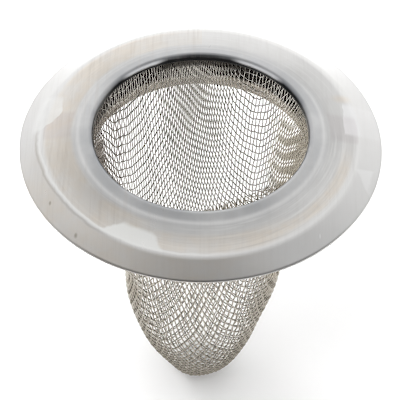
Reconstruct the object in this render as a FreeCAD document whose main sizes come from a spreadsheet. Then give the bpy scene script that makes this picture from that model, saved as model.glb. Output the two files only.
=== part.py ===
import FreeCAD, Part
import math
import os
import Sketcher

# Wire-mesh strainer that hangs by its rim in a drain.
# Frame: +Z up along the strainer's axis, origin in the middle of the plane on
# which the lower edge of the rim's skirt rests. Millimetres.

doc = FreeCAD.newDocument("sink_strainer")

# ---------------------------------------------------------------- dimensions
sheet = doc.addObject("Spreadsheet::Sheet", "Sheet")
DIMENSIONS = [
    ("sheet_gauge", 0.40),       # stamped sheet thickness
    ("rim_radius", 35.00),       # edge of the skirt
    ("edge_height", 0.30),       # upright edge face of the skirt above its flat foot
    ("crease_radius", 30.80),    # where skirt and annulus meet, top side
    ("crease_height", 2.14),
    ("crease_bend", 4.20),       # top-side bend radius at the crease
    ("swage_radius", 23.70),     # faint ring where the lip starts to rise
    ("swage_height", 3.50),
    ("lip_slope", 14.0),         # degrees, between the swage line and the lip
    ("lip_bend", 0.90),          # top-side bend radius of the lip
    ("mouth_radius", 20.65),     # inside of the collar
    ("collar_bottom", 2.70),
    ("wire_gauge", 0.25),        # wire diameter, the cloth is two wires thick
    ("cloth_thickness", 0.50),
    ("cloth_top", 3.05),         # upper edge of the clamped cloth
    ("taper_start", 1.80),       # height at which the wall starts to taper
    ("taper_angle", 7.35),       # degrees from the axis
    ("flank_radius", 80.0),      # long arc between wall and nose, outside
    ("nose_radius", 8.45),       # rounded nose, outside
    ("nose_bottom", -68.9),
    ("sleeve_bottom", -4.70),
    ("sleeve_bend", 0.70),       # inside bend radius, sleeve to flange
    ("flange_radius", 25.60),    # edge of the sleeve's flange
]
for row, (alias, value) in enumerate(DIMENSIONS, start=1):
    sheet.set("A%d" % row, alias)
    sheet.set("B%d" % row, "%.4f" % value)
    sheet.setAlias("B%d" % row, alias)
doc.recompute()


def val(alias):
    return float(sheet.get(alias))


def vec(p):
    return FreeCAD.Vector(p[0], p[1], 0)


def new_body(name):
    body = doc.addObject("PartDesign::Body", name)
    body.Label = name
    return body


def new_sketch(body, name):
    sk = body.newObject("Sketcher::SketchObject", name)
    plane = [f for f in body.Origin.OriginFeatures if f.Role == "XZ_Plane"][0]
    sk.AttachmentSupport = [(plane, "")]
    sk.MapMode = "FlatFace"
    return sk


class Profile:
    """Closed chain of lines and arcs in a meridian plane, x = radius, y = height."""

    def __init__(self, sk):
        self.sk = sk
        self.n = []

    def line(self, a, b):
        i = self.sk.addGeometry(Part.LineSegment(vec(a), vec(b)), False)
        self.n.append((i, 1, 2))
        return i

    def arc(self, c, r, a0, a1):
        """Arc about c from angle a0 to a1 in degrees, walked in that order."""
        lo, hi = (a0, a1) if a1 > a0 else (a1, a0)
        circle = Part.Circle(vec(c), FreeCAD.Vector(0, 0, 1), r)
        i = self.sk.addGeometry(
            Part.ArcOfCircle(circle, math.radians(lo), math.radians(hi)), False)
        self.n.append((i, 1, 2) if a1 > a0 else (i, 2, 1))
        return i

    def close(self, smooth):
        """Join the chain end to end, tangent at the listed joints."""
        count = len(self.n)
        for k in range(count):
            i, _, end = self.n[k]
            j, start, _ = self.n[(k + 1) % count]
            kind = "Tangent" if (i, j) in smooth else "Coincident"
            self.sk.addConstraint(Sketcher.Constraint(kind, i, end, j, start))

    def start(self, i):
        return [s for (g, s, e) in self.n if g == i][0]

    def end(self, i):
        return [e for (g, s, e) in self.n if g == i][0]

    def dim(self, name, expression, *args):
        """Dimension named in the sketch and bound to the sheet."""
        c = self.sk.addConstraint(Sketcher.Constraint(*args))
        self.sk.renameConstraint(c, name)
        self.sk.setExpression("Constraints." + name, expression)
        return c

    def rule(self, *args):
        self.sk.addConstraint(Sketcher.Constraint(*args))


def check_sketch(sk):
    doc.recompute()
    if sk.solve() != 0 or not sk.FullyConstrained:
        raise RuntimeError("sketch %s is not solved and fully constrained" % sk.Name)


def revolve(body, sk, name):
    rev = body.newObject("PartDesign::Revolution", name)
    rev.Profile = sk
    rev.ReferenceAxis = (sk, ["V_Axis"])
    rev.Angle = 360.0
    body.Tip = rev
    doc.recompute()
    return rev


def on(p, angle, r):
    return (p[0] + r * math.cos(math.radians(angle)), p[1] + r * math.sin(math.radians(angle)))


# ------------------------------------------------------------- rim flange
# Top side from the skirt's edge inwards, then back along the underside, which
# runs one sheet gauge below it.
g = val("sheet_gauge")
ro, rc, zc = val("rim_radius"), val("crease_radius"), val("crease_height")
rs, zs = val("swage_radius"), val("swage_height")
rm, cb = val("mouth_radius"), val("collar_bottom")
bend_c, bend_l = val("crease_bend"), val("lip_bend")
he = val("edge_height")
skirt = math.degrees(math.atan2(zc - he, ro - rc))
dome = math.degrees(math.atan2(zs - zc, rc - rs))
lip = val("lip_slope")

# crease bend: tangent to skirt and annulus, below the theoretical corner
half = (skirt - dome) / 2.0
away = bend_c / math.cos(math.radians(half))
mid = 90.0 - (skirt + dome) / 2.0
cc = on((rc, zc), mid + 180.0, away)
# lip bend: tangent to the lip's slope and to the collar's inside
lx = rm + bend_l
lz = zs + (rs - lx) * math.tan(math.radians(lip)) - bend_l / math.cos(math.radians(lip))
lc = (lx, lz)

body_rim = new_body("rim_flange")
sk = new_sketch(body_rim, "rim_profile")
pr = Profile(sk)
top_skirt = pr.line((ro, he), on(cc, 90.0 - skirt, bend_c))
top_crease = pr.arc(cc, bend_c, 90.0 - skirt, 90.0 - dome)
top_dome = pr.line(on(cc, 90.0 - dome, bend_c), (rs, zs))
top_lip = pr.line((rs, zs), on(lc, 90.0 - lip, bend_l))
top_bend = pr.arc(lc, bend_l, 90.0 - lip, 180.0)
collar_in = pr.line((rm, lz), (rm, cb))
collar_end = pr.line((rm, cb), (rm + g, cb))
collar_out = pr.line((rm + g, cb), (rm + g, lz))
low_bend = pr.arc(lc, bend_l - g, 180.0, 90.0 - lip)
# underside corner below the swage line
shift = g / math.cos(math.radians((lip - dome) / 2.0))
low_corner = on((rs, zs), 270.0 - (lip + dome) / 2.0, shift)
low_lip = pr.line(on(lc, 90.0 - lip, bend_l - g), low_corner)
low_dome = pr.line(low_corner, on(cc, 90.0 - dome, bend_c - g))
low_crease = pr.arc(cc, bend_c - g, 90.0 - dome, 90.0 - skirt)
# the underside meets the flat foot on which the skirt rests
rb = ro - g / math.sin(math.radians(skirt)) + he / math.tan(math.radians(skirt))
low_skirt = pr.line(on(cc, 90.0 - skirt, bend_c - g), (rb, 0.0))
foot = pr.line((rb, 0.0), (ro, 0.0))
edge = pr.line((ro, 0.0), (ro, he))
pr.close({(top_skirt, top_crease), (top_crease, top_dome), (top_lip, top_bend), (top_bend, collar_in),
          (collar_out, low_bend), (low_bend, low_lip), (low_dome, low_crease), (low_crease, low_skirt)})
pr.rule("Horizontal", foot)
pr.rule("PointOnObject", foot, 1, -1)
pr.rule("Vertical", edge)
pr.rule("Horizontal", collar_end)
pr.rule("Vertical", collar_in)
pr.rule("Vertical", collar_out)
pr.rule("Coincident", top_crease, 3, low_crease, 3)
pr.rule("Coincident", top_bend, 3, low_bend, 3)
pr.rule("Parallel", top_skirt, low_skirt)
pr.rule("Parallel", top_dome, low_dome)
pr.rule("Parallel", top_lip, low_lip)
pr.dim("rim_radius", "Sheet.rim_radius", "DistanceX", -1, 1, top_skirt, 1, ro)
pr.dim("edge_height", "Sheet.edge_height", "DistanceY", edge, 1, edge, 2, he)
pr.dim("crease_bend", "Sheet.crease_bend", "Radius", top_crease, bend_c)
pr.dim("crease_under", "Sheet.crease_bend - Sheet.sheet_gauge", "Radius", low_crease, bend_c - g)
pr.dim("skirt_angle", "180 deg - atan((Sheet.crease_height - Sheet.edge_height) / (Sheet.rim_radius - Sheet.crease_radius))",
       "Angle", top_skirt, math.radians(180.0 - skirt))
pr.dim("dome_angle", "180 deg - atan((Sheet.swage_height - Sheet.crease_height) / (Sheet.crease_radius - Sheet.swage_radius))",
       "Angle", top_dome, math.radians(180.0 - dome))
pr.dim("swage_radius", "Sheet.swage_radius", "DistanceX", -1, 1, top_dome, 2, rs)
pr.dim("swage_height", "Sheet.swage_height", "DistanceY", -1, 1, top_dome, 2, zs)
pr.dim("lip_slope", "180 deg - Sheet.lip_slope * 1 deg", "Angle", top_lip, math.radians(180.0 - lip))
pr.dim("lip_bend", "Sheet.lip_bend", "Radius", top_bend, bend_l)
pr.dim("lip_under", "Sheet.lip_bend - Sheet.sheet_gauge", "Radius", low_bend, bend_l - g)
pr.dim("mouth_radius", "Sheet.mouth_radius", "DistanceX", -1, 1, collar_in, 2, rm)
pr.dim("collar_bottom", "Sheet.collar_bottom", "DistanceY", -1, 1, collar_in, 2, cb)
check_sketch(sk)
revolve(body_rim, sk, "rim_turned")

# ------------------------------------------------------- retaining sleeve
# Cylinder outside the cloth, bent outwards at the top into a flange that lies
# under the annulus and follows its slope.
ri = rm + g + val("cloth_thickness")          # inside of the sleeve
sb, bend_s, rf = val("sleeve_bottom"), val("sleeve_bend"), val("flange_radius")


def under(r):
    """Height of the annulus underside between swage line and crease."""
    return zs - (r - rs) * math.tan(math.radians(dome)) - g / math.cos(math.radians(dome))


# The bend's centre lies outside the cylinder. The top side of the flange
# touches the underside of the annulus, which falls outwards at the dome angle.
bx = ri + g + bend_s
bz = under(bx) - (bend_s + g) / math.cos(math.radians(dome))
bc = (bx, bz)
body_sleeve = new_body("retaining_sleeve")
sk = new_sketch(body_sleeve, "sleeve_profile")
pr = Profile(sk)
wall_in = pr.line((ri, sb), (ri, bz))
bend_in = pr.arc(bc, bend_s + g, 180.0, 90.0 - dome)
flange_top = pr.line(on(bc, 90.0 - dome, bend_s + g), (rf, under(rf)))
flange_edge = pr.line((rf, under(rf)), (rf, under(rf) - g / math.cos(math.radians(dome))))
flange_low = pr.line((rf, under(rf) - g / math.cos(math.radians(dome))), on(bc, 90.0 - dome, bend_s))
bend_out = pr.arc(bc, bend_s, 90.0 - dome, 180.0)
wall_out = pr.line((ri + g, bz), (ri + g, sb))
wall_end = pr.line((ri + g, sb), (ri, sb))
pr.close({(wall_in, bend_in), (bend_in, flange_top), (flange_low, bend_out), (bend_out, wall_out)})
pr.rule("Coincident", bend_in, 3, bend_out, 3)
pr.rule("Vertical", wall_in)
pr.rule("Vertical", wall_out)
pr.rule("Vertical", flange_edge)
pr.rule("Horizontal", wall_end)
pr.rule("Parallel", flange_top, flange_low)
pr.dim("sleeve_inside", "Sheet.mouth_radius + Sheet.sheet_gauge + Sheet.cloth_thickness",
       "DistanceX", -1, 1, wall_in, 1, ri)
pr.dim("sleeve_bottom", "-Sheet.sleeve_bottom", "DistanceY", wall_in, 1, -1, 1, -sb)
pr.dim("bend_outside", "Sheet.sleeve_bend + Sheet.sheet_gauge", "Radius", bend_in, bend_s + g)
pr.dim("bend_inside", "Sheet.sleeve_bend", "Radius", bend_out, bend_s)
pr.dim("flange_slope", "-atan((Sheet.swage_height - Sheet.crease_height) / (Sheet.crease_radius - Sheet.swage_radius))",
       "Angle", flange_top, math.radians(-dome))
pr.dim("flange_radius", "Sheet.flange_radius", "DistanceX", -1, 1, flange_top, 2, rf)
SLOPE = "(Sheet.swage_height - Sheet.crease_height) / (Sheet.crease_radius - Sheet.swage_radius)"
pr.dim("flange_height", "Sheet.swage_height - (Sheet.flange_radius - Sheet.swage_radius) * %s"
       " - Sheet.sheet_gauge / cos(atan(%s))" % (SLOPE, SLOPE),
       "DistanceY", -1, 1, flange_top, 2, under(rf))
check_sketch(sk)
revolve(body_sleeve, sk, "sleeve_turned")

# ----------------------------------------------------------- mesh basket
# Closed wall of the woven cloth's outer shape and thickness: clamped band,
# straight taper, long flank arc, rounded nose. Outside first, then inside.
th = val("cloth_thickness")
ct, ts = val("cloth_top"), val("taper_start")
tau, r1, rn, zb = val("taper_angle"), val("flank_radius"), val("nose_radius"), val("nose_bottom")
nc = (0.0, zb + rn)                            # centre of the nose
nrm = (math.cos(math.radians(tau)), -math.sin(math.radians(tau)))
reach = (ri - nc[0]) * nrm[0] + (ts - nc[1]) * nrm[1]
psi = tau + math.degrees(math.acos((r1 - reach) / (r1 - rn)))
fc = on(nc, -psi + 180.0, r1 - rn)             # centre of the flank arc
body_mesh = new_body("mesh_basket")
sk = new_sketch(body_mesh, "basket_profile")
pr = Profile(sk)
band_out = pr.line((ri, ct), (ri, ts))
wall_out = pr.line((ri, ts), on(fc, -tau, r1))
flank_out = pr.arc(fc, r1, -tau, -psi)
nose_out = pr.arc(nc, rn, -psi, -90.0)
axis = pr.line((0.0, zb), (0.0, zb + th))
nose_in = pr.arc(nc, rn - th, -90.0, -psi)
flank_in = pr.arc(fc, r1 - th, -psi, -tau)
turn = ts + th * math.tan(math.radians(tau / 2.0))
wall_in = pr.line(on(fc, -tau, r1 - th), (ri - th, turn))
band_in = pr.line((ri - th, turn), (ri - th, ct))
top = pr.line((ri - th, ct), (ri, ct))
pr.close({(wall_out, flank_out), (flank_out, nose_out), (nose_in, flank_in), (flank_in, wall_in)})
pr.rule("Vertical", band_out)
pr.rule("Vertical", band_in)
pr.rule("Vertical", axis)
pr.rule("Horizontal", top)
pr.rule("PointOnObject", nose_out, 3, -2)
pr.rule("PointOnObject", axis, 1, -2)
pr.rule("Coincident", nose_out, 3, nose_in, 3)
pr.rule("Coincident", flank_out, 3, flank_in, 3)
pr.rule("Parallel", wall_out, wall_in)
pr.dim("band_radius", "Sheet.mouth_radius + Sheet.sheet_gauge + Sheet.cloth_thickness",
       "DistanceX", -1, 1, band_out, 1, ri)
pr.dim("cloth_thickness", "Sheet.cloth_thickness", "DistanceX", top, 1, top, 2, th)
pr.dim("cloth_top", "Sheet.cloth_top", "DistanceY", -1, 1, band_out, 1, ct)
pr.dim("taper_start", "Sheet.taper_start", "DistanceY", -1, 1, band_out, 2, ts)
pr.dim("taper_angle", "-90 deg - Sheet.taper_angle * 1 deg", "Angle", wall_out, math.radians(-90.0 - tau))
pr.dim("flank_radius", "Sheet.flank_radius", "Radius", flank_out, r1)
pr.dim("flank_inside", "Sheet.flank_radius - Sheet.cloth_thickness", "Radius", flank_in, r1 - th)
pr.dim("nose_radius", "Sheet.nose_radius", "Radius", nose_out, rn)
pr.dim("nose_bottom", "-Sheet.nose_bottom", "DistanceY", axis, 1, -1, 1, -zb)
check_sketch(sk)
revolve(body_mesh, sk, "basket_drawn")

# ------------------------------------------------------------ check, write
doc.recompute()
for obj in doc.Objects:
    if "Invalid" in obj.State or "Error" in obj.State:
        raise RuntimeError("%s failed: %s" % (obj.Name, obj.State))
nodes = [body_rim, body_sleeve, body_mesh]
for body in nodes:
    shape = body.Shape
    if shape.isNull() or not shape.isValid() or len(shape.Solids) != 1:
        raise RuntimeError("%s has no single valid solid" % body.Label)
os.makedirs("parts", exist_ok=True)
for body in nodes:
    body.Shape.exportStep("parts/%s.step" % body.Label)
    box = body.Shape.BoundBox
    print("%-18s volume %9.2f mm3  x %.2f..%.2f  z %.2f..%.2f" % (
        body.Label, body.Shape.Volume, box.XMin, box.XMax, box.ZMin, box.ZMax))
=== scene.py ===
import math

import bpy
import numpy as np
from mathutils import Matrix, Vector


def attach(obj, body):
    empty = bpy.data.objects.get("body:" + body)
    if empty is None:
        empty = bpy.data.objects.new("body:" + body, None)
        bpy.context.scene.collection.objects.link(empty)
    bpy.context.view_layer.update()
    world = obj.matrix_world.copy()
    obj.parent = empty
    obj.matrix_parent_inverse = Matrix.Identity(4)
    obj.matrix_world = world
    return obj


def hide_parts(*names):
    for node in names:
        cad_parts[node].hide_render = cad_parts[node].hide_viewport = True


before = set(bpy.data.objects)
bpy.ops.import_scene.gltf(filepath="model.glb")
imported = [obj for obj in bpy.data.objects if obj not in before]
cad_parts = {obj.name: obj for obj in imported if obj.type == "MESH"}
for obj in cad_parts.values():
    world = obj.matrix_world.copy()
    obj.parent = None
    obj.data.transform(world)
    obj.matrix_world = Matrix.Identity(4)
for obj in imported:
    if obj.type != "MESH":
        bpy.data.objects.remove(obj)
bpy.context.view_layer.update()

scene = bpy.context.scene
MM = 0.001

# ------------------------------------------------------------------ camera
# On the -Y side, looking down at the rim.
ELEV, DIST, TARGET_Z, ROLL = 0.8294, 350.0, -16.088, 0.0129
back = Vector((0.0, -math.cos(ELEV), math.sin(ELEV)))
right0 = Vector((1.0, 0.0, 0.0))
up0 = back.cross(right0)
right = math.cos(ROLL) * right0 + math.sin(ROLL) * up0
up = -math.sin(ROLL) * right0 + math.cos(ROLL) * up0
eye = (Vector((0.0, 0.0, TARGET_Z)) + DIST * back) * MM
cam_data = bpy.data.cameras.new("camera")
cam_data.sensor_width = 36.0
cam_data.lens = 1749.75 / 400.0 * 36.0
cam_data.clip_start = 0.01
cam = bpy.data.objects.new("camera", cam_data)
cam.matrix_world = Matrix((
    (right.x, up.x, back.x, eye.x),
    (right.y, up.y, back.y, eye.y),
    (right.z, up.z, back.z, eye.z),
    (0.0, 0.0, 0.0, 1.0)))
scene.collection.objects.link(cam)
scene.camera = cam
scene.view_settings.view_transform = "Standard"


# --------------------------------------------------------------- mesh tools
def mesh_object(name, verts, faces4=None, faces=None, smooth=True):
    """Mesh object from arrays in mm: quads as an (n, 4) array, other faces as lists."""
    me = bpy.data.meshes.new(name)
    verts = np.asarray(verts, np.float32) * MM
    loops, starts = [], []
    n = 0
    if faces4 is not None and len(faces4):
        q = np.asarray(faces4, np.int32)
        loops.append(q.ravel())
        starts.append(np.arange(len(q), dtype=np.int32) * 4)
        n = 4 * len(q)
    for f in faces or []:
        loops.append(np.asarray(f, np.int32))
        starts.append(np.asarray([n], np.int32))
        n += len(f)
    loops = np.concatenate(loops)
    starts = np.concatenate(starts)
    me.vertices.add(len(verts))
    me.vertices.foreach_set("co", verts.ravel())
    me.loops.add(len(loops))
    me.loops.foreach_set("vertex_index", loops)
    me.polygons.add(len(starts))
    me.polygons.foreach_set("loop_start", starts)
    me.update(calc_edges=True)
    me.validate()
    me.polygons.foreach_set("use_smooth", np.full(len(me.polygons), smooth))
    ob = bpy.data.objects.new(name, me)
    scene.collection.objects.link(ob)
    return ob


def lathe(name, profile, segments, shape=None):
    """Closed ring turned from a closed profile of (radius, height) rows."""
    prof = np.asarray(profile, float)
    m = len(prof)
    ang = np.arange(segments) * (2.0 * math.pi / segments)
    rr = np.repeat(prof[None, :, 0], segments, 0)
    zz = np.repeat(prof[None, :, 1], segments, 0)
    aa = np.repeat(ang[:, None], m, 1)
    if shape is not None:
        rr, zz = shape(rr, aa, zz)
    v = np.stack([rr * np.cos(aa), rr * np.sin(aa), zz], -1).reshape(-1, 3)
    i = np.arange(segments)[:, None]
    j = np.arange(m)[None, :]
    i2, j2 = (i + 1) % segments, (j + 1) % m
    quads = np.stack(np.broadcast_arrays(i * m + j, i2 * m + j, i2 * m + j2, i * m + j2), -1).reshape(-1, 4)
    return mesh_object(name, v, quads)


def arc(c, r, a0, a1, n):
    t = np.radians(np.linspace(a0, a1, n))
    return np.stack([c[0] + r * np.cos(t), c[1] + r * np.sin(t)], -1)


# --------------------------------------------------------------- dimensions
GAUGE = 0.40
RIM, EDGE_Z, CREASE, CREASE_Z, SWAGE, SWAGE_Z = 35.0, 0.30, 30.8, 2.14, 23.7, 3.50
MOUTH, LIP_BEND, LIP_SLOPE, COLLAR_Z = 20.65, 0.90, math.radians(14.0), 2.70
CLOTH, CLOTH_Z, WIRE = 0.50, 2.95, 0.25
SLEEVE_Z, SLEEVE_BEND, FLANGE = -4.70, 0.70, 25.60
TAPER, TAPER_Z, FLANK, NOSE, NOSE_Z = math.radians(7.35), 1.80, 80.0, 8.45, -68.9
SKIRT = math.atan2(CREASE_Z - EDGE_Z, RIM - CREASE)
DOME = math.atan2(SWAGE_Z - CREASE_Z, CREASE - SWAGE)


# ------------------------------------------------------------------ the rim
# Stamped sheet: skirt with an upright edge, rolled crease, annulus that gets
# steeper inwards up to a swage line, rising lip and turned-down collar.
BEND = 4.2
STEEPEN, SWAGE_DIP = 0.145, 0.12


def rim_top():
    """Top side from the skirt's edge to the bottom of the collar."""
    n = 600
    r = np.linspace(RIM - 0.05, SWAGE, n)
    t = np.clip((CREASE - r) / (CREASE - SWAGE), 0.0, 1.0)
    dome = STEEPEN * t - SWAGE_DIP * np.exp(-((r - SWAGE) / 0.5) ** 2)
    ring = r <= CREASE
    dome += math.tan(DOME) - dome[ring].mean()
    slope = np.where(ring, dome, math.tan(SKIRT))
    # the crease is rolled, so its slope runs smoothly from skirt to annulus
    step = r[0] - r[1]
    half = int(round(BEND * (SKIRT - DOME) / 2.0 / step))
    pad = np.concatenate([np.full(half, slope[0]), slope, np.full(half, slope[-1])])
    kernel = np.ones(2 * half + 1) / (2 * half + 1)
    soft = np.convolve(pad, kernel, "valid")
    slope = np.where(np.abs(r - CREASE) < 1.5, soft, slope)
    z = np.concatenate([[0.0], np.cumsum((slope[1:] + slope[:-1]) / 2.0 * step)]) + EDGE_Z + 0.05 * math.tan(SKIRT)
    z += (SWAGE_Z - z[-1]) * np.clip((CREASE - r) / (CREASE - SWAGE), 0.0, 1.0)
    keep = np.unique(np.concatenate([np.arange(0, n, 12), np.arange(180, 270, 3), np.arange(520, n, 5), [n - 1]]))
    ring = np.stack([r, z], -1)[keep]
    s_end = (z[-1] - z[-2]) / step
    lc = (MOUTH + LIP_BEND, SWAGE_Z + (SWAGE - MOUTH - LIP_BEND) * math.tan(LIP_SLOPE)
          - LIP_BEND / math.cos(LIP_SLOPE))
    bend = arc(lc, LIP_BEND, 76.0, 180.0, 22)
    # lip between swage line and bend
    a, b = ring[-1], bend[0]
    u = np.linspace(0.0, 1.0, 16)[1:-1]
    w = a[0] - b[0]
    h00, h10 = 2 * u**3 - 3 * u**2 + 1, u**3 - 2 * u**2 + u
    h01, h11 = -2 * u**3 + 3 * u**2, u**3 - u**2
    lip_z = h00 * a[1] + h10 * w * s_end + h01 * b[1] + h11 * w * math.tan(LIP_SLOPE)
    lip = np.stack([a[0] - u * w, lip_z], -1)
    wall = np.stack([np.full(3, MOUTH), np.linspace(lc[1], COLLAR_Z + 0.08, 4)[1:]], -1)
    return np.concatenate([ring, lip, bend, wall])


def offset(curve, d):
    """Curve moved sideways by d, to the inside of the sheet."""
    t = np.gradient(curve, axis=0)
    t /= np.linalg.norm(t, axis=1)[:, None]
    return curve + d * np.stack([-t[:, 1], t[:, 0]], -1)


top = rim_top()
low = offset(top, GAUGE)
low = low[low[:, 1] > 0.05]
foot_r = RIM - GAUGE / math.sin(SKIRT) + EDGE_Z / math.tan(SKIRT)
collar_edge = np.array([[MOUTH + 0.03, COLLAR_Z + 0.02], [MOUTH + 0.10, COLLAR_Z],
                        [MOUTH + GAUGE - 0.10, COLLAR_Z], [MOUTH + GAUGE - 0.03, COLLAR_Z + 0.02]])
foot = np.array([[foot_r + 0.02, 0.008], [foot_r + 0.06, 0.0], [RIM - 0.10, 0.0], [RIM - 0.05, 0.0], [RIM - 0.015, 0.014],
                 [RIM, 0.05], [RIM, 0.15], [RIM, EDGE_Z - 0.03], [RIM - 0.012, EDGE_Z - 0.002]])
rim_profile = np.concatenate([top, collar_edge, low[::-1], foot])


def rim_shape(r, a, z):
    """Slight unevenness of a thin stamping: the skirt's edge wanders, the annulus is not quite flat."""
    out = np.clip((r - 22.5) / 12.5, 0.0, 1.0)
    wave = (0.040 * np.sin(2 * a + 0.6) + 0.030 * np.sin(3 * a + 2.1) + 0.018 * np.sin(5 * a + 4.0)
            + 0.012 * np.sin(9 * a + 1.3))
    edge = np.clip((r - 32.5) / 2.5, 0.0, 1.0) ** 2
    fine = 0.010 * np.sin(17 * a + 0.4) + 0.008 * np.sin(29 * a + 2.2) + 0.006 * np.sin(43 * a + 5.0)
    z = z + out * wave + edge * fine
    turn = np.arctan2(np.sin(a + math.pi / 2.0), np.cos(a + math.pi / 2.0))      # 0 at the front
    drift = 0.45 * np.exp(-((turn + 1.60) / 0.38) ** 2) - 0.35 * np.exp(-((turn + 0.86) / 0.32) ** 2)
    r = r + drift * np.exp(-((r - CREASE) / 1.6) ** 2)
    r = r - edge * (0.04 + 0.022 * np.sin(4 * a + 1.0) + 0.012 * np.sin(11 * a + 3.0))
    return r, z


rim = lathe("rim", rim_profile, 360, rim_shape)


# --------------------------------------------------------------- the sleeve
def sleeve_profile():
    ri = MOUTH + GAUGE + CLOTH
    bx = ri + GAUGE + SLEEVE_BEND

    def under(r):
        return SWAGE_Z - (r - SWAGE) * math.tan(DOME) - GAUGE / math.cos(DOME)

    bz = under(bx) - (SLEEVE_BEND + GAUGE) / math.cos(DOME)
    deg = math.degrees(DOME)
    wall_in = np.stack([np.full(24, ri), np.linspace(SLEEVE_Z + 0.06, bz, 24)], -1)
    bend_in = arc((bx, bz), SLEEVE_BEND + GAUGE, 180.0, 90.0 - deg, 14)[1:]
    fl = np.linspace(bend_in[-1, 0], FLANGE - 0.05, 12)[1:]
    fl_top = np.stack([fl, under(fl) - 0.01], -1)
    drop = GAUGE / math.cos(DOME)
    fl2 = np.linspace(FLANGE - 0.05, bx + SLEEVE_BEND * math.sin(DOME), 12)
    fl_low = np.stack([fl2, under(fl2) - drop], -1)
    edge = np.array([[FLANGE, under(FLANGE) - 0.06], [FLANGE, under(FLANGE) - drop + 0.06]])
    bend_out = arc((bx, bz), SLEEVE_BEND, 90.0 - deg, 180.0, 12)[1:]
    wall_out = np.stack([np.full(24, ri + GAUGE), np.linspace(bz, SLEEVE_Z + 0.06, 24)], -1)[1:]
    end = np.array([[ri + GAUGE - 0.06, SLEEVE_Z], [ri + 0.06, SLEEVE_Z]])
    return np.concatenate([wall_in, bend_in, fl_top, edge, fl_low, bend_out, wall_out, end])[::-1]


sleeve = lathe("sleeve", sleeve_profile(), 360)


# ----------------------------------------------------------- the woven cloth
# Mid-surface of the cloth as a meridian curve, by arc length from the nose.
def meridian():
    off = CLOTH / 2.0
    ri = MOUTH + GAUGE + CLOTH
    nc = np.array([0.0, NOSE_Z + NOSE])
    nl = np.array([math.cos(TAPER), -math.sin(TAPER)])
    reach = (np.array([ri, TAPER_Z]) - nc) @ nl
    psi = TAPER + math.acos((FLANK - reach) / (FLANK - NOSE))
    fc = nc - (FLANK - NOSE) * np.array([math.cos(psi), -math.sin(psi)])
    q = np.linspace(math.pi / 2, psi, 1500)
    a = nc + (NOSE - off) * np.stack([np.cos(q), -np.sin(q)], -1)
    q = np.linspace(psi, TAPER, 3000)[1:]
    b = fc + (FLANK - off) * np.stack([np.cos(q), -np.sin(q)], -1)
    knee = np.array([ri - off, TAPER_Z + off * math.tan(TAPER / 2.0)])
    u = np.linspace(0.0, 1.0, 3000)[1:, None]
    c = b[-1] * (1 - u) + knee * u
    u = np.linspace(0.0, 1.0, 50)[1:, None]
    d = knee * (1 - u) + np.array([ri - off, CLOTH_Z]) * u
    p = np.concatenate([a, b, c, d])
    s = np.concatenate([[0.0], np.cumsum(np.hypot(*np.diff(p, axis=0).T))])
    return s, p[:, 0], p[:, 1]


MS, MR, MZ = meridian()
S_TOP = MS[-1]
S_MAP = 77.854        # arc length at which the map below is scaled
MDR, MDZ = np.gradient(MR, MS), np.gradient(MZ, MS)

# The flat cloth was drawn down over a punch. The map gives, for a point of the
# basket at arc length s and angle a, its place in the flat cloth counted in
# meshes: warp wires lie at half-integer u, weft wires at half-integer v. The
# cloth narrows by shearing, so the meshes stay square on four meridians and
# turn into tall diamonds between them.
T0, F1, F2 = 0.8402, 40.881, 0.3221
SHEAR = ((-3, 0.1191, -0.0151), (5, -0.0250, -0.0004), (-7, -0.0020, -0.0241), (9, 0.0055, 0.0032))
PULL, SKEW = 0.0908 - 0.1102j, -0.0190 + 0.0487j
SWELL, CURL, FLARE = 0.0062 - 0.0107j, -0.0029 - 0.0090j, 0.0910 + 0.0480j


def cloth_uv(x, y):
    s = np.hypot(x, y)
    t = np.arctan2(y, x) - T0
    k = s / S_MAP
    f = F1 * ((1.0 + F2) * k - F2 * k * k)
    rest = 1.0
    w = 0.0
    for order, c1, c3 in SHEAR:
        c = c1 * k + c3 * k ** 3
        rest = rest - c
        w = w + c * np.exp(1j * order * t)
    w = f * (w + rest * np.exp(1j * t))
    w = w + PULL * w * w / F1
    w = w + SKEW * np.conj(w) * k
    w = w + (SWELL * w * np.conj(w) + FLARE * np.conj(w) ** 2) / F1 + CURL * w ** 3 / F1 ** 2
    # hand-drawn cloth: wires wander by a fraction of a mesh
    w = w + 0.16 * np.sin(0.23 * x + 0.9) * np.sin(0.19 * y + 0.4) + 0.10 * np.sin(0.41 * y - 0.27 * x)
    w = w + 1j * (0.16 * np.sin(0.21 * y + 2.0) * np.sin(0.24 * x + 1.1) + 0.10 * np.sin(0.37 * x + 0.31 * y))
    return w


def cloth_xy(target):
    """Inverse of the map, found by following it out from the nose."""
    z0 = cloth_uv(np.zeros(1), np.zeros(1))[0]
    p = np.zeros(len(target), complex)
    steps = 24
    e = 1e-4
    for n in range(1, steps + 1):
        goal = z0 + (target - z0) * (n / steps)
        for _ in range(3 if n < steps else 12):
            w = cloth_uv(p.real, p.imag)
            wx = (cloth_uv(p.real + e, p.imag) - w) / e
            wy = (cloth_uv(p.real, p.imag + e) - w) / e
            det = wx.real * wy.imag - wx.imag * wy.real
            det = np.where(np.abs(det) < 1e-3, 1e-3, det)
            d = goal - w
            dx = (d.real * wy.imag - d.imag * wy.real) / det
            dy = (wx.real * d.imag - wx.imag * d.real) / det
            step = dx + 1j * dy
            size = np.abs(step)
            step = np.where(size > 3.0, step / np.maximum(size, 1e-9) * 3.0, step)
            p = p + step
    bad = np.abs(cloth_uv(p.real, p.imag) - target) > 1e-3
    p[bad] = 2.0 * S_TOP
    return p


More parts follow.
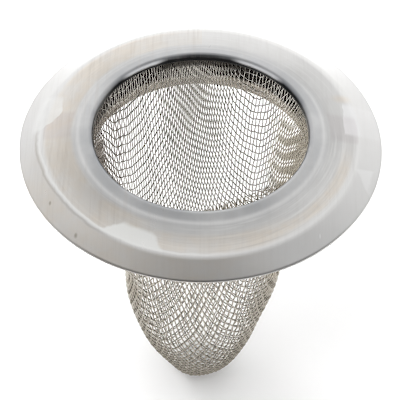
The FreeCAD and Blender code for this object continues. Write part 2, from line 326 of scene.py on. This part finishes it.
def dents(s, a):
    """Hand-worn shape of the basket: outward bulge (+) or inward dent (-) in mm."""
    def spot(s0, ws, a0, wa):
        da = (a - math.radians(a0) + math.pi) % (2.0 * math.pi) - math.pi
        return np.exp(-((s - s0) / ws) ** 2 - (da / math.radians(wa)) ** 2)
    d = 0.14 * np.sin(0.21 * s + 1.0) * np.sin(3 * a + 0.5) + 0.10 * np.sin(0.33 * s + 2.0) * np.sin(5 * a + 2.0)
    d = d * np.clip(s / 8.0, 0.0, 1.0) * np.clip((S_TOP - s) / 12.0, 0.0, 1.0)
    d = d - 0.85 * spot(27.0, 6.5, -2.0, 32.0) + 0.35 * spot(11.5, 5.0, -4.0, 60.0) - 0.15 * spot(14.0, 6.0, 184.0, 60.0)
    d = d - 1.7 * spot(43.0, 7.5, 192.0, 34.0) - 1.5 * spot(62.0, 16.0, 27.0, 13.0) * np.clip((S_TOP - s) / 6.0, 0.0, 1.0)
    # cloth that has come away from the sleeve at one side of the mouth
    near = S_TOP - s
    da = (a - math.radians(-64.0) + math.pi) % (2.0 * math.pi) - math.pi
    loose = np.exp(-(da / math.radians(30.0)) ** 4)
    d = d - 3.8 * loose * np.clip(near / 1.6, 0.0, 1.0) * np.exp(-((near - 1.6).clip(0.0) / 6.5) ** 2)
    return d


def on_cloth(p, lift):
    """Point in space for a flat-polar place p, lifted along the outward normal, and that normal."""
    s = np.abs(p)
    a = np.angle(p)
    lift = lift + dents(s, a)
    r = np.interp(s, MS, MR)
    z = np.interp(s, MS, MZ)
    dr = np.interp(s, MS, MDR)
    dz = np.interp(s, MS, MDZ)
    n = np.stack([dz * np.cos(a), dz * np.sin(a), -dr], -1)
    n /= np.linalg.norm(n, axis=1)[:, None]
    return np.stack([r * np.cos(a), r * np.sin(a), z], -1) + n * lift[:, None], n


SAMPLES = 4          # points per mesh along a wire
SIDES = 8
SWAY = (CLOTH - WIRE) / 2.0 - 0.004     # crossings are pressed flat


def wire_runs(family, index):
    """Runs of one wire of the cloth, as (places in the flat cloth, steps along the wire)."""
    reach = int(F1 * 1.45)
    run = np.arange(-reach * SAMPLES, reach * SAMPLES + 1) / SAMPLES
    fixed = np.full(len(run), index + 0.5)
    w = fixed + 1j * run if family == 0 else run + 1j * fixed
    return w, run


def weave(family, indices):
    """All wires of one family with the given indices, as tubes."""
    verts, quads, caps = [], [], []
    base = 0
    ws, runs = zip(*[wire_runs(family, i) for i in indices])
    n = len(ws[0])
    p_all = cloth_xy(np.concatenate(ws)).reshape(len(indices), n)
    ring = np.arange(SIDES) * (2.0 * math.pi / SIDES)
    for row, index in enumerate(indices):
        p, run = p_all[row], runs[row]
        sign = (1.0 if index % 2 == 0 else -1.0) * (1.0 if family == 0 else -1.0)
        inside = np.abs(p) < S_TOP
        where = np.flatnonzero(inside)
        if len(where) < 3:
            continue
        for part in np.split(where, np.flatnonzero(np.diff(where) > 1) + 1):
            if len(part) < 3:
                continue
            q, c = list(p[part]), list(run[part])
            # carry both ends up to the edge of the cloth
            for k, o in ((0, part[0] - 1), (-1, part[-1] + 1)):
                if 0 <= o < n and np.abs(p[o]) < 1.9 * S_TOP:
                    f = (S_TOP - abs(q[k])) / max(abs(p[o]) - abs(q[k]), 1e-6)
                    if 0.15 < f < 1.0:
                        e = q[k] + (p[o] - q[k]) * f
                        g = c[k] + (run[o] - c[k]) * f
                        if k == 0:
                            q.insert(0, e); c.insert(0, g)
                        else:
                            q.append(e); c.append(g)
            q, c = np.array(q), np.array(c)
            sway = SWAY * sign * np.cos(math.pi * (c - 0.5))
            pos, nrm = on_cloth(q, sway)
            tan = np.gradient(pos, axis=0)
            tan /= np.linalg.norm(tan, axis=1)[:, None]
            nrm = nrm - tan * np.sum(nrm * tan, 1)[:, None]
            nrm /= np.linalg.norm(nrm, axis=1)[:, None]
            side = np.cross(tan, nrm)
            # thinner right under the lip, fitted to the dark gaps seen there
            neck = np.clip((np.abs(q) - S_TOP + 8.0) / 3.0, 0.0, 1.0)
            rad = WIRE / 2.0 * (1.0 - 0.26 * neck * neck * (3.0 - 2.0 * neck))
            v = pos[:, None, :] + rad[:, None, None] * (np.cos(ring)[None, :, None] * nrm[:, None, :]
                                                        + np.sin(ring)[None, :, None] * side[:, None, :])
            m = len(pos)
            verts.append(v.reshape(-1, 3))
            i = np.arange(m - 1)[:, None] * SIDES
            j = np.arange(SIDES)[None, :]
            j2 = (j + 1) % SIDES
            quads.append(base + np.stack(np.broadcast_arrays(i + j, i + j2, i + SIDES + j2, i + SIDES + j), -1).reshape(-1, 4))
            caps.append(base + np.arange(SIDES)[::-1])
            caps.append(base + (m - 1) * SIDES + np.arange(SIDES))
            base += m * SIDES
    return np.concatenate(verts), np.concatenate(quads), caps


SPAN = int(F1 * 1.4)
groups = {
    "cloth_warp_a": (0, range(-SPAN, -9)), "cloth_warp_b": (0, range(-9, 10)), "cloth_warp_c": (0, range(10, SPAN)),
    "cloth_weft_a": (1, range(-SPAN, -9)), "cloth_weft_b": (1, range(-9, 10)), "cloth_weft_c": (1, range(10, SPAN)),
}
cloth = []
for name, (family, indices) in groups.items():
    v, q, caps = weave(family, list(indices))
    cloth.append(mesh_object(name, v, q, caps))
print("wire triangles", {o.name: sum(len(p.vertices) - 2 for p in o.data.polygons) for o in cloth})


# ---------------------------------------------------------------- materials
def material(name):
    mat = bpy.data.materials.new(name)
    mat.use_nodes = True
    nt = mat.node_tree
    for n in list(nt.nodes):
        nt.nodes.remove(n)
    out = nt.nodes.new("ShaderNodeOutputMaterial")
    bsdf = nt.nodes.new("ShaderNodeBsdfPrincipled")
    nt.links.new(bsdf.outputs["BSDF"], out.inputs["Surface"])
    return mat, nt, bsdf


def noise(nt, vector, scale, detail=2.0, rough=0.5):
    n = nt.nodes.new("ShaderNodeTexNoise")
    n.inputs["Scale"].default_value = scale
    n.inputs["Detail"].default_value = detail
    n.inputs["Roughness"].default_value = rough
    nt.links.new(vector, n.inputs["Vector"])
    return n.outputs["Fac"]


def stretch(nt, vector, scale):
    n = nt.nodes.new("ShaderNodeMapping")
    n.inputs["Scale"].default_value = scale
    nt.links.new(vector, n.inputs["Vector"])
    return n.outputs["Vector"]


def math_node(nt, op, a, b=None, clamp=False):
    n = nt.nodes.new("ShaderNodeMath")
    n.operation = op
    n.use_clamp = clamp
    for i, v in enumerate((a, b)):
        if v is None:
            continue
        if isinstance(v, (int, float)):
            n.inputs[i].default_value = v
        else:
            nt.links.new(v, n.inputs[i])
    return n.outputs[0]


def remap(nt, v, lo, hi, a, b):
    n = nt.nodes.new("ShaderNodeMapRange")
    n.clamp = True
    for i, x in enumerate((lo, hi, a, b), start=1):
        n.inputs[i].default_value = x
    nt.links.new(v, n.inputs[0])
    return n.outputs[0]


def smooth(nt, v, lo, hi, a=0.0, b=1.0):
    n = nt.nodes.new("ShaderNodeMapRange")
    n.interpolation_type = "SMOOTHSTEP"
    for i, x in enumerate((lo, hi, a, b), start=1):
        n.inputs[i].default_value = x
    nt.links.new(v, n.inputs[0])
    return n.outputs[0]


def window(nt, v, lo, hi, soft):
    """1 between lo and hi, with soft ends."""
    return math_node(nt, "MULTIPLY", smooth(nt, v, lo - soft, lo + soft), smooth(nt, v, hi - soft, hi + soft, 1.0, 0.0))


def near(nt, v, centre, width):
    """1 at the centre, 0 from width on."""
    d = math_node(nt, "ABSOLUTE", math_node(nt, "SUBTRACT", v, centre))
    return smooth(nt, d, 0.0, width, 1.0, 0.0)


def times(nt, *v):
    out = v[0]
    for x in v[1:]:
        out = math_node(nt, "MULTIPLY", out, x)
    return out


def plus(nt, *v):
    out = v[0]
    for x in v[1:]:
        out = math_node(nt, "ADD", out, x)
    return out


def spot_at(nt, vector, at, scale, inner, outer):
    """1 close to a point given in mm, 0 further off; scale squeezes the axes."""
    n = nt.nodes.new("ShaderNodeVectorMath")
    n.operation = "DISTANCE"
    nt.links.new(stretch(nt, vector, scale), n.inputs[0])
    n.inputs[1].default_value = [c * MM * k for c, k in zip(at, scale)]
    return smooth(nt, n.outputs["Value"], inner * MM, outer * MM, 1.0, 0.0)


def beyond(nt, x, y, a, b, soft):
    """1 to the left of the line from a to b (mm, seen from above), 0 to the right."""
    dx, dy = b[0] - a[0], b[1] - a[1]
    n = math.hypot(dx, dy)
    d = plus(nt, times(nt, x, -dy / n), times(nt, y, dx / n), (a[0] * dy - a[1] * dx) / n * MM)
    return smooth(nt, d, -soft * MM, soft * MM)


def mix(nt, fac, a, b, blend="MIX"):
    n = nt.nodes.new("ShaderNodeMix")
    n.data_type = "RGBA"
    n.blend_type = blend
    nt.links.new(fac, n.inputs[0])
    for sock, v in ((n.inputs[6], a), (n.inputs[7], b)):
        if isinstance(v, tuple):
            sock.default_value = (*v, 1.0)
        else:
            nt.links.new(v, sock)
    return n.outputs[2]


# Satin stainless sheet: rolling grain along Y, cloudy tints, turning marks and small nicks, with painted light and
# shade by place.
rim_mat, nt, bsdf = material("satin_steel")
obj = nt.nodes.new("ShaderNodeTexCoord").outputs["Object"]
sep = nt.nodes.new("ShaderNodeSeparateXYZ")
nt.links.new(obj, sep.inputs[0])
flat = nt.nodes.new("ShaderNodeVectorMath")
flat.operation = "LENGTH"
nt.links.new(stretch(nt, obj, (1.0, 1.0, 0.0)), flat.inputs[0])
radius = flat.outputs["Value"]
turn = math_node(nt, "ARCTAN2", sep.outputs["X"], times(nt, sep.outputs["Y"], -1.0))     # 0 at the front, positive to the right
grain = noise(nt, stretch(nt, obj, (3200.0, 160.0, 160.0)), 1.0, 3.0, 0.6)
streak = noise(nt, stretch(nt, obj, (1500.0, 70.0, 70.0)), 1.0, 3.0, 0.6)
cloud = noise(nt, obj, 85.0, 4.0, 0.55)
tint = noise(nt, obj, 190.0, 3.0, 0.6)
ragged = noise(nt, obj, 240.0, 2.0, 0.5)
polar = nt.nodes.new("ShaderNodeCombineXYZ")
nt.links.new(times(nt, radius, 1500.0), polar.inputs[0])
nt.links.new(times(nt, turn, 1.6), polar.inputs[1])
rings = noise(nt, polar.outputs[0], 1.0, 3.0, 0.6)
r_edge = plus(nt, radius, remap(nt, ragged, 0.3, 0.7, -0.0002, 0.0002))
t_edge = plus(nt, turn, remap(nt, ragged, 0.3, 0.7, -0.035, 0.035))
left = smooth(nt, turn, -0.25, -0.60)
on_ring = times(nt, window(nt, radius, 0.0240, 0.0304, 0.0004), smooth(nt, turn, 1.35, 1.75, 1.0, 0.25))

# base colour by radius is painted light and shade: near-black at the collar under the lip, a light line at the swage,
# lightest just inside the crease
radial_light_and_shade = nt.nodes.new("ShaderNodeValToRGB")
nt.links.new(remap(nt, radius, 0.020, 0.035, 0.0, 1.0), radial_light_and_shade.inputs["Fac"])
stops = [(20.0, (0.04, 0.042, 0.046)), (20.75, (0.05, 0.053, 0.058)), (21.05, (0.30, 0.31, 0.33)), (21.7, (0.515, 0.523, 0.533)), (23.0, (0.55, 0.556, 0.564)),
         (23.6, (0.70, 0.70, 0.70)), (24.3, (0.64, 0.64, 0.64)), (25.0, (0.67, 0.667, 0.66)), (26.5, (0.72, 0.715, 0.705)),
         (28.5, (0.80, 0.795, 0.785)), (30.3, (0.86, 0.855, 0.845)), (31.2, (0.83, 0.825, 0.815)), (35.0, (0.83, 0.825, 0.815))]
ramp = radial_light_and_shade.color_ramp
while len(ramp.elements) < len(stops):
    ramp.elements.new(0.5)
for el, (r, c) in zip(ramp.elements, stops):
    el.position = (r - 20.0) / 15.0
    el.color = (*c, 1.0)
base = radial_light_and_shade.outputs["Color"]
base = mix(nt, remap(nt, cloud, 0.44, 0.64, 0.0, 0.36), base, (0.90, 0.895, 0.885))
base = mix(nt, times(nt, remap(nt, streak, 0.46, 0.70, 0.0, 0.30), remap(nt, left, 0.0, 1.0, 0.5, 1.0), smooth(nt, radius, 0.0300, 0.0314, 1.0, 0.45)), base, (0.58, 0.555, 0.53))
# painted shade: the annulus dimmer from the left to the front left and from the right to the back right
dim_annulus_shade = plus(nt, window(nt, t_edge, -1.45, -0.62, 0.15), window(nt, t_edge, 1.35, 2.40, 0.20))
base = mix(nt, times(nt, dim_annulus_shade, window(nt, radius, 0.0240, 0.0299, 0.0005)), base, (0.88, 0.88, 0.88), "MULTIPLY")
# painted highlight on the lip's bend at the two back corners, and painted shade: the collar under the lip near-black at
# the back
glint = plus(nt, window(nt, turn, -2.75, -2.34, 0.08), window(nt, turn, 2.32, 2.80, 0.08))
base = mix(nt, times(nt, glint, smooth(nt, radius, 0.0209, 0.0213, 1.0, 0.0)), base, (0.97, 0.98, 1.0))
collar_shade = times(nt, smooth(nt, plus(nt, sep.outputs["Z"], times(nt, glint, 0.00018)), 0.00375, 0.00335), smooth(nt, radius, 0.02095, 0.02115, 1.0, 0.0),
               smooth(nt, math_node(nt, "ABSOLUTE", turn), 1.70, 2.20))
base = mix(nt, times(nt, collar_shade, 0.96), base, (0.012, 0.012, 0.013))
# painted shade: the lip and annulus darker towards the back
rear = smooth(nt, math_node(nt, "ABSOLUTE", turn), 1.75, 2.35)
base = mix(nt, times(nt, rear, window(nt, radius, 0.0213, 0.0297, 0.0004), smooth(nt, radius, 0.0235, 0.0262, 1.0, 0.65)), base, (0.84, 0.84, 0.84), "MULTIPLY")
# painted light: the skirt paler at the back
base = mix(nt, times(nt, smooth(nt, math_node(nt, "ABSOLUTE", turn), 2.00, 2.60), smooth(nt, radius, 0.0303, 0.0313)), base, (1.0, 1.0, 1.0))
base = mix(nt, times(nt, remap(nt, rings, 0.50, 0.72, 0.0, 0.50), on_ring, remap(nt, left, 0.0, 1.0, 1.0, 0.35)), base, (0.93, 0.93, 0.92))
base = mix(nt, times(nt, remap(nt, rings, 0.46, 0.28, 0.0, 0.35), on_ring, remap(nt, left, 0.0, 1.0, 1.0, 0.35)), base, (0.58, 0.58, 0.58))
# painted reflection: a warm tint by place on the left, front and front right of the annulus and on the front-left skirt
warm = plus(nt,
            times(nt, left, smooth(nt, turn, -3.10, -2.60, 0.4, 1.0), window(nt, radius, 0.0248, 0.0300, 0.0006)),
            times(nt, window(nt, t_edge, -0.45, 0.55, 0.20), window(nt, radius, 0.0262, 0.0300, 0.0007), 0.8),
            times(nt, window(nt, t_edge, 0.45, 1.40, 0.20), window(nt, radius, 0.0274, 0.0294, 0.0006)),
            times(nt, window(nt, turn, -1.30, 0.25, 0.30), smooth(nt, radius, 0.0305, 0.0314), 0.8))
warm = times(nt, warm, remap(nt, tint, 0.36, 0.60, 0.45, 1.0))
base = mix(nt, math_node(nt, "MINIMUM", warm, 1.0), base, (1.0, 0.940, 0.865), "MULTIPLY")
# painted highlight: a bright line inside the crease that opens into one large bright patch, with painted shade just
# outside the line
seam_r = smooth(nt, turn, -1.53, -0.95, 0.0310, 0.03015)
seam_on = times(nt, smooth(nt, turn, -1.80, -1.50), smooth(nt, turn, -0.10, 0.30, 1.0, 0.0))
off_seam = math_node(nt, "SUBTRACT", r_edge, seam_r)
crease_highlight = times(nt, smooth(nt, math_node(nt, "ABSOLUTE", off_seam), 0.00005, 0.00036, 1.0, 0.0), seam_on)
shade = times(nt, near(nt, off_seam, 0.00065, 0.00038), smooth(nt, turn, -1.75, -1.45), smooth(nt, turn, -0.75, -0.45, 1.0, 0.0))
patch_lo = smooth(nt, math_node(nt, "ABSOLUTE", plus(nt, t_edge, 0.43)), 0.10, 0.25, 0.0268, 0.0304)
highlight_patch = times(nt, smooth(nt, math_node(nt, "SUBTRACT", r_edge, patch_lo), -0.0003, 0.0008), smooth(nt, r_edge, 0.0299, 0.0307, 1.0, 0.0))
base = mix(nt, times(nt, shade, 0.55), base, (0.56, 0.53, 0.49))
base = mix(nt, times(nt, crease_highlight, 0.65), base, (0.97, 0.97, 0.955))
base = mix(nt, times(nt, highlight_patch, 0.90), base, (0.97, 0.975, 0.955))
wobble = remap(nt, ragged, 0.3, 0.7, -0.00035, 0.00035)
px, py = plus(nt, sep.outputs["X"], wobble), plus(nt, sep.outputs["Y"], times(nt, wobble, -0.7))
# painted reflection: a bright patch on the front-right skirt
skirt_patch = times(nt, beyond(nt, px, py, (33.0, -7.6), (29.8, -8.2), 0.30), beyond(nt, px, py, (32.1, -12.2), (32.9, -7.5), 0.40),
                    beyond(nt, px, py, (29.5, -8.6), (31.3, -12.4), 0.40))
base = mix(nt, times(nt, skirt_patch, 0.55), base, (0.98, 0.98, 0.975))
# painted reflection: a bright patch on the right of the annulus
right_patch = times(nt, beyond(nt, px, py, (27.75, 9.0), (27.55, 0.0), 0.12), window(nt, py, 0.0006, 0.0088, 0.0006), smooth(nt, radius, 0.0300, 0.0315, 1.0, 0.3))
beside = times(nt, window(nt, px, 0.0250, 0.0274, 0.0004), window(nt, py, 0.0006, 0.0085, 0.0012))
base = mix(nt, times(nt, beside, remap(nt, streak, 0.40, 0.62, 0.10, 0.65)), base, (0.655, 0.652, 0.640))
# painted reflection: a warm spot at the back end of the right patch
base = mix(nt, times(nt, spot_at(nt, obj, (27.4, 10.4, 2.8), (0.7, 1.1, 0.0), 0.2, 1.9), 0.8), base, (1.0, 0.94, 0.865), "MULTIPLY")
base = mix(nt, times(nt, right_patch, remap(nt, cloud, 0.35, 0.65, 0.45, 0.8)), base, (0.97, 0.97, 0.975))
# painted reflection: a bright patch on the left of the annulus, darker and pinker on the other side of its edge
left_patch = times(nt, beyond(nt, px, py, (-30.9, 0.5), (-27.2, 5.4), 0.18), smooth(nt, px, -0.0269, -0.0273), window(nt, py, 0.0006, 0.0100, 0.0008),
                   smooth(nt, radius, 0.0312, 0.0330, 1.0, 0.0))
corner = times(nt, beyond(nt, px, py, (-27.2, 5.4), (-30.9, 0.5), 0.18), window(nt, py, -0.0016, 0.0053, 0.0008), window(nt, radius, 0.0249, 0.0303, 0.0003))
base = mix(nt, times(nt, corner, 0.6), base, (0.88, 0.85, 0.86), "MULTIPLY")
base = mix(nt, times(nt, left_patch, remap(nt, tint, 0.35, 0.65, 0.35, 0.8)), base, (0.96, 0.965, 0.955))
# nicks and one light scratch on the skirt
for at, squeeze in (((-27.9, -17.2, 1.3), (1.6, 0.8, 0.5)), ((-22.7, -24.8, 0.9), (1.2, 0.7, 0.5))):
    base = mix(nt, times(nt, spot_at(nt, obj, at, squeeze, 0.05, 0.55), 0.7), base, (0.40, 0.36, 0.29))
base = mix(nt, times(nt, spot_at(nt, obj, (22.1, -24.4, 1.2), (2.5, 0.7, 0.5), 0.1, 0.5), 0.8), base, (1.0, 1.0, 1.0))
# painted shade along the skirt's bottom edge, strongest in front
base = mix(nt, times(nt, smooth(nt, radius, 0.03445, 0.03492, 0.0, 0.70), smooth(nt, math_node(nt, "ABSOLUTE", turn), 0.45, 1.10, 1.0, 0.10)), base, (0.20, 0.195, 0.19))
nt.links.new(base, bsdf.inputs["Base Color"])
rough = plus(nt, remap(nt, cloud, 0.3, 0.7, 0.29, 0.37), remap(nt, grain, 0.3, 0.7, -0.03, 0.03))
nt.links.new(rough, bsdf.inputs["Roughness"])
bsdf.inputs["Metallic"].default_value = 1.0
bump = nt.nodes.new("ShaderNodeBump")
bump.inputs["Strength"].default_value = 0.25
bump.inputs["Distance"].default_value = 0.00002
nt.links.new(grain, bump.inputs["Height"])
nt.links.new(bump.outputs["Normal"], bsdf.inputs["Normal"])

# Plain drawn sheet of the sleeve, with painted shade: its inner face near-black up under the lip, plain sheet lower
# down.
sleeve_mat, nt, bsdf = material("drawn_steel")
obj = nt.nodes.new("ShaderNodeTexCoord").outputs["Object"]
sep = nt.nodes.new("ShaderNodeSeparateXYZ")
nt.links.new(obj, sep.inputs[0])
flat = nt.nodes.new("ShaderNodeVectorMath")
flat.operation = "LENGTH"
nt.links.new(stretch(nt, obj, (1.0, 1.0, 0.0)), flat.inputs[0])
grain = noise(nt, stretch(nt, obj, (900.0, 900.0, 60.0)), 1.0, 3.0, 0.6)
cloud = noise(nt, obj, 90.0, 3.0, 0.55)
c1 = mix(nt, remap(nt, cloud, 0.35, 0.65, 0.0, 1.0), (0.62, 0.57, 0.50), (0.70, 0.66, 0.60))
c2 = mix(nt, remap(nt, grain, 0.45, 0.70, 0.0, 0.5), c1, (0.52, 0.47, 0.41))
# painted shade: the inner face near-black from about 2 mm below the rim's foot up under the lip
upper_shade = math_node(nt, "ADD", sep.outputs["Z"], remap(nt, cloud, 0.3, 0.7, -0.0005, 0.0005))
upper_shade = math_node(nt, "MULTIPLY", remap(nt, upper_shade, -0.0025, -0.0018, 0.0, 0.95), remap(nt, flat.outputs["Value"], 0.02160, 0.02175, 1.0, 0.0))
c3 = mix(nt, upper_shade, c2, (0.018, 0.017, 0.016))
nt.links.new(c3, bsdf.inputs["Base Color"])
nt.links.new(remap(nt, grain, 0.3, 0.7, 0.14, 0.24), bsdf.inputs["Roughness"])
bsdf.inputs["Metallic"].default_value = 1.0
bump = nt.nodes.new("ShaderNodeBump")
bump.inputs["Strength"].default_value = 0.2
bump.inputs["Distance"].default_value = 0.00003
nt.links.new(grain, bump.inputs["Height"])
nt.links.new(bump.outputs["Normal"], bsdf.inputs["Normal"])

# Drawn wire: lighter at the back, warmer and darker in front, partly tarnish and partly painted shade; painted light
# and shade on the side walls and under the lip; darker towards the nose.
wire_mat, nt, bsdf = material("drawn_wire")
obj = nt.nodes.new("ShaderNodeTexCoord").outputs["Object"]
sep = nt.nodes.new("ShaderNodeSeparateXYZ")
nt.links.new(obj, sep.inputs[0])
cloud = noise(nt, obj, 220.0, 3.0, 0.6)
spot = noise(nt, obj, 2400.0, 2.0, 0.5)
drift = remap(nt, cloud, 0.3, 0.7, -0.002, 0.002)
height = plus(nt, sep.outputs["Z"], drift)
across = plus(nt, sep.outputs["X"], drift)
# warmer and darker at the front than at the back: partly tarnish, partly painted shade
lighter_back = mix(nt, remap(nt, cloud, 0.35, 0.65, 0.0, 1.0), (0.49, 0.475, 0.445), (0.59, 0.575, 0.545))
warm = mix(nt, remap(nt, cloud, 0.35, 0.65, 0.0, 1.0), (0.42, 0.385, 0.325), (0.51, 0.475, 0.415))
base = mix(nt, smooth(nt, sep.outputs["Y"], -0.006, 0.006), warm, lighter_back)
# painted shade: the upper part of the left wall darker
base = mix(nt, times(nt, smooth(nt, across, -0.0145, -0.0170), smooth(nt, height, -0.030, -0.022)), base, (0.28, 0.25, 0.225))
# painted light: the upper part of the right wall lighter and warmer
base = mix(nt, times(nt, smooth(nt, across, 0.0135, 0.0160), smooth(nt, height, -0.034, -0.026), 0.8), base, (0.56, 0.515, 0.43))
base = mix(nt, remap(nt, spot, 0.55, 0.75, 0.0, 0.5), base, (0.31, 0.285, 0.24))
# darker towards the nose
base = mix(nt, smooth(nt, height, -0.042, -0.056, 0.0, 0.6), base, (0.29, 0.26, 0.21))
# painted light: wires brighter just below the lip at the back; painted shade: darker right under it at the very back
behind = smooth(nt, sep.outputs["Y"], 0.006, 0.012)
middle = smooth(nt, math_node(nt, "ABSOLUTE", sep.outputs["X"]), 0.0070, 0.0105, 1.0, 0.0)
bright = plus(nt, times(nt, window(nt, sep.outputs["Z"], -0.0020, 0.0008, 0.0004), middle, 0.6),
              times(nt, window(nt, sep.outputs["Z"], -0.0021, 0.0022, 0.0004), math_node(nt, "SUBTRACT", 1.0, middle), 0.9))
base = mix(nt, times(nt, behind, bright), base, (0.92, 0.90, 0.86))
base = mix(nt, times(nt, behind, middle, smooth(nt, sep.outputs["Z"], 0.0006, 0.0016)), base, (0.30, 0.29, 0.28), "MULTIPLY")
nt.links.new(base, bsdf.inputs["Base Color"])
nt.links.new(times(nt, remap(nt, spot, 0.3, 0.7, 0.15, 0.25), smooth(nt, height, -0.0085, -0.0045, 1.0, 0.5)), bsdf.inputs["Roughness"])
bsdf.inputs["Metallic"].default_value = 1.0

# ------------------------------------------------------------------ hook-up
for ob, mat, slot, node in [(rim, rim_mat, "rim_steel", "rim_flange"), (sleeve, sleeve_mat, "sleeve_steel", "retaining_sleeve")] + [
        (c, wire_mat, "mesh_wire", "mesh_basket") for c in cloth]:
    ob.data.materials.append(mat)
    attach(ob, "root")
    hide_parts(node)

# -------------------------------------------------------------------- floor
floor = mesh_object("floor", [(-4000, -4000, NOSE_Z), (4000, -4000, NOSE_Z), (4000, 4000, NOSE_Z), (-4000, 4000, NOSE_Z)], [(0, 1, 2, 3)])
floor_mat, nt, bsdf = material("pale_floor")
bsdf.inputs["Base Color"].default_value = (0.93, 0.93, 0.93, 1.0)
bsdf.inputs["Roughness"].default_value = 0.9
bsdf.inputs["Specular IOR Level"].default_value = 0.0
# painted light: the floor glows more the further it is from the strainer, so it runs out into the white surroundings
away = nt.nodes.new("ShaderNodeVectorMath")
away.operation = "LENGTH"
nt.links.new(stretch(nt, nt.nodes.new("ShaderNodeTexCoord").outputs["Object"], (1.0, 1.0, 0.0)), away.inputs[0])
bsdf.inputs["Emission Color"].default_value = (1.0, 1.0, 1.0, 1.0)
nt.links.new(smooth(nt, away.outputs["Value"], 0.16, 0.60, 0.0, 0.60), bsdf.inputs["Emission Strength"])
floor.data.materials.append(floor_mat)

# -------------------------------------------------------------------- light
world = bpy.data.worlds.new("studio")
scene.world = world
world.use_nodes = True
nt = world.node_tree
for n in list(nt.nodes):
    nt.nodes.remove(n)
out = nt.nodes.new("ShaderNodeOutputWorld")
bg = nt.nodes.new("ShaderNodeBackground")
coord = nt.nodes.new("ShaderNodeTexCoord")
sep = nt.nodes.new("ShaderNodeSeparateXYZ")
nt.links.new(coord.outputs["Generated"], sep.inputs[0])
ramp = nt.nodes.new("ShaderNodeValToRGB")
nt.links.new(remap(nt, sep.outputs["Y"], -1.0, 1.0, 0.0, 1.0), ramp.inputs["Fac"])
cr = ramp.color_ramp
stops = [(-1.0, 0.04), (-0.45, 0.05), (-0.25, 0.15), (-0.085, 0.43), (0.10, 0.55), (0.36, 0.73), (0.68, 0.88), (0.90, 1.06), (1.0, 1.40)]
while len(cr.elements) < len(stops):
    cr.elements.new(0.5)
for el, (y, v) in zip(cr.elements, stops):
    el.position = (y + 1.0) / 2.0
    el.color = (v, v, v, 1.0)
# the front is dark above eye level only; at its sides the metal mirrors a paler wall
path = nt.nodes.new("ShaderNodeLightPath")
low_front = math_node(nt, "MULTIPLY", remap(nt, sep.outputs["Z"], 0.10, 0.55, 0.55, 0.0), remap(nt, sep.outputs["Y"], -0.3, 0.0, 1.0, 0.0))
side_front = math_node(nt, "MULTIPLY", smooth(nt, math_node(nt, "ABSOLUTE", sep.outputs["X"]), 0.15, 0.50, 0.0, 0.55),
                       remap(nt, sep.outputs["Y"], -0.35, -0.08, 1.0, 0.0))
side_front = math_node(nt, "MULTIPLY", side_front, path.outputs["Is Glossy Ray"])
glow = nt.nodes.new("ShaderNodeMix")
glow.data_type = "RGBA"
glow.blend_type = "ADD"
glow.inputs[0].default_value = 1.0
nt.links.new(ramp.outputs[0], glow.inputs[6])
nt.links.new(math_node(nt, "MAXIMUM", low_front, side_front), glow.inputs[7])
nt.links.new(glow.outputs[2], bg.inputs["Color"])
bg.inputs["Strength"].default_value = 1.0
# seen directly, the surroundings are plain white
white = nt.nodes.new("ShaderNodeBackground")
white.inputs["Color"].default_value = (1.0, 1.0, 1.0, 1.0)
pick = nt.nodes.new("ShaderNodeMixShader")
nt.links.new(path.outputs["Is Camera Ray"], pick.inputs[0])
nt.links.new(bg.outputs[0], pick.inputs[1])
nt.links.new(white.outputs[0], pick.inputs[2])
nt.links.new(pick.outputs[0], out.inputs["Surface"])


def softbox(name, pos, size, power, aim=(0.0, 0.0, -0.04), glossy=True, color=(1.0, 1.0, 1.0)):
    data = bpy.data.lights.new(name, "AREA")
    data.shape = "DISK"
    data.size = size
    data.energy = power
    data.color = color
    ob = bpy.data.objects.new(name, data)
    ob.location = pos
    ob.rotation_euler = (Vector(aim) - Vector(pos)).to_track_quat("-Z", "Y").to_euler()
    ob.visible_glossy = glossy
    scene.collection.objects.link(ob)
    return ob


# soft light from all round, most of it from the left and the front; the metal mirrors only the surroundings
for name, az, el, power in (("left", 180, 65, 2.5), ("front_left", 225, 65, 1.9), ("front", 270, 65, 1.6), ("rear", 90, 65, 0.83),
                            ("rear_left", 135, 25, 1.7), ("rear_right", 45, 65, 1.6), ("right", 0, 65, 0.4)):
    az, el = math.radians(az), math.radians(el)
    softbox(name, (0.9 * math.cos(el) * math.cos(az), 0.9 * math.cos(el) * math.sin(az), NOSE_Z * MM + 0.9 * math.sin(el)),
            0.45, power, aim=(0.0, 0.0, NOSE_Z * MM), glossy=False)

# a touch of the crispness of a small camera
scene.use_nodes = True
ct = scene.node_tree
for n in list(ct.nodes):
    ct.nodes.remove(n)
layers = ct.nodes.new("CompositorNodeRLayers")
crisp = ct.nodes.new("CompositorNodeFilter")
crisp.filter_type = "SHARPEN_DIAMOND"
crisp.inputs["Fac"].default_value = 0.09
result = ct.nodes.new("CompositorNodeComposite")
ct.links.new(layers.outputs["Image"], crisp.inputs["Image"])
ct.links.new(crisp.outputs["Image"], result.inputs["Image"])
